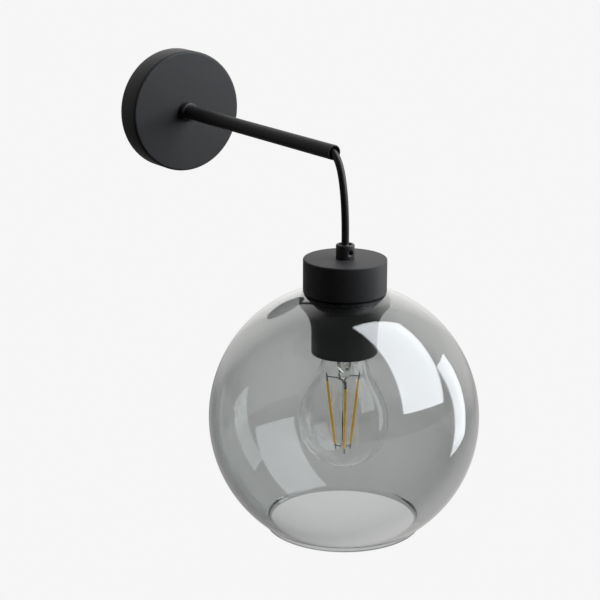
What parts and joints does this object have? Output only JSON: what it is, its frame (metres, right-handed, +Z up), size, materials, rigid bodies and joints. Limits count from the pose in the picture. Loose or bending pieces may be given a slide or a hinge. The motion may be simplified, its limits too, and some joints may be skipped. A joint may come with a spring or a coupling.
{
  "type": "globe wall sconce",
  "caption": "Wall light with a round canopy, a straight tube arm and a globe shade that hangs on a short cord round a filament bulb.",
  "frame": {"origin": "centre of the canopy, on the wall", "axes": "+Y into the wall, so the arm points along -Y; +Z up"},
  "size_m": [0.18, 0.308, 0.2961],
  "materials": {
    "black_paint": "fine matte black powder coat",
    "black_screws": "blackened steel, satin",
    "zinc_steel": "bright zinc plate",
    "brass": "plain brass",
    "screw_steel": "plain steel",
    "cord_pvc": "satin black PVC sheath",
    "live_wire": "brown PVC",
    "neutral_wire": "blue PVC",
    "holder_wires": "brown and blue PVC",
    "earth_wire": "green and yellow PVC",
    "terminal_plastic": "translucent white polyamide",
    "holder_plastic": "black thermoset",
    "insert_ceramic": "glazed steatite",
    "gasket_rubber": "black silicone",
    "smoke_glass": "smoke-grey blown glass",
    "base_metal": "nickel plated",
    "insulator_glass": "black glass insulator",
    "driver_board": "small circuit board with two components",
    "clear_glass": "clear glass",
    "lead_wire": "dull nickel wire",
    "filament_gel": "yellow phosphor gel"
  },
  "bodies": {
    "root": {"mounting_bracket": "zinc_steel", "earth_screw": "brass", "earth_lug": "zinc_steel", "earth_lead": "earth_wire", "canopy": "black_paint", "canopy_screws": "black_screws", "arm_tube": "black_paint", "arm_collar": "black_paint", "arm_washer": "zinc_steel", "arm_nut": "zinc_steel", "cord_anchor": "zinc_steel", "anchor_screw": "zinc_steel", "cord_in_arm": "cord_pvc", "live_core": "live_wire", "neutral_core": "neutral_wire", "terminal_block": "terminal_plastic", "terminal_barrels": "brass", "terminal_screws": "screw_steel"},
    "cord": {"cord_bend": "cord_pvc"},
    "cord_end": {"cord_drop": "cord_pvc"},
    "pendant": {"cord_grip": "black_paint", "grip_screw": "black_screws", "cord_in_grip": "cord_pvc", "holder_cap": "black_paint", "holder_dome": "holder_plastic", "holder_insert": "insert_ceramic", "holder_terminals": "brass", "holder_body": "holder_plastic", "holder_cores": "holder_wires", "screw_shell": "brass", "centre_contact": "brass", "shade_ring": "black_paint", "glass_gasket": "gasket_rubber", "glass_globe": "smoke_glass"},
    "bulb_tip": {"bulb_contact": "base_metal"},
    "bulb": {"bulb_insulator": "insulator_glass", "bulb_base": "base_metal", "bulb_driver": "driver_board", "bulb_envelope": "clear_glass", "bulb_stem": "clear_glass", "support_wires": "lead_wire", "led_filaments": "filament_gel", "filament_tabs": "lead_wire", "lower_star": "lead_wire"}
  },
  "joints": [
    {"name": "pendant_swing_side", "type": "hinge", "parent": "root", "child": "cord", "pos_m": [0, -0.205, -0.006], "axis": [0, 1, 0], "range_deg": [-35, 35], "deforming": ["cord_bend"]},
    {"name": "pendant_swing_fore", "type": "hinge", "parent": "cord", "child": "cord_end", "pos_m": [0, -0.218, -0.03], "axis": [1, 0, 0], "range_deg": [-35, 35], "deforming": ["cord_drop"]},
    {"name": "pendant_twist", "type": "hinge", "parent": "cord_end", "child": "pendant", "pos_m": [0, -0.218, -0.058], "axis": [0, 0, 1], "range_deg": [-60, 60], "stiffness_Nm_per_rad": 0.01},
    {"name": "bulb_travel", "type": "slide", "parent": "pendant", "child": "bulb_tip", "axis": [0, 0, -1], "range_m": [0, 0.0127]},
    {"name": "bulb_turn", "type": "hinge", "parent": "bulb_tip", "child": "bulb", "pos_m": [0, -0.218, -0.11], "axis": [0, 0, -1], "range_deg": [0, 1260]}
  ],
  "couplings": [
    {"joint": "bulb_turn", "follows": "bulb_travel", "rad_per_m": 1731.4}
  ]
}
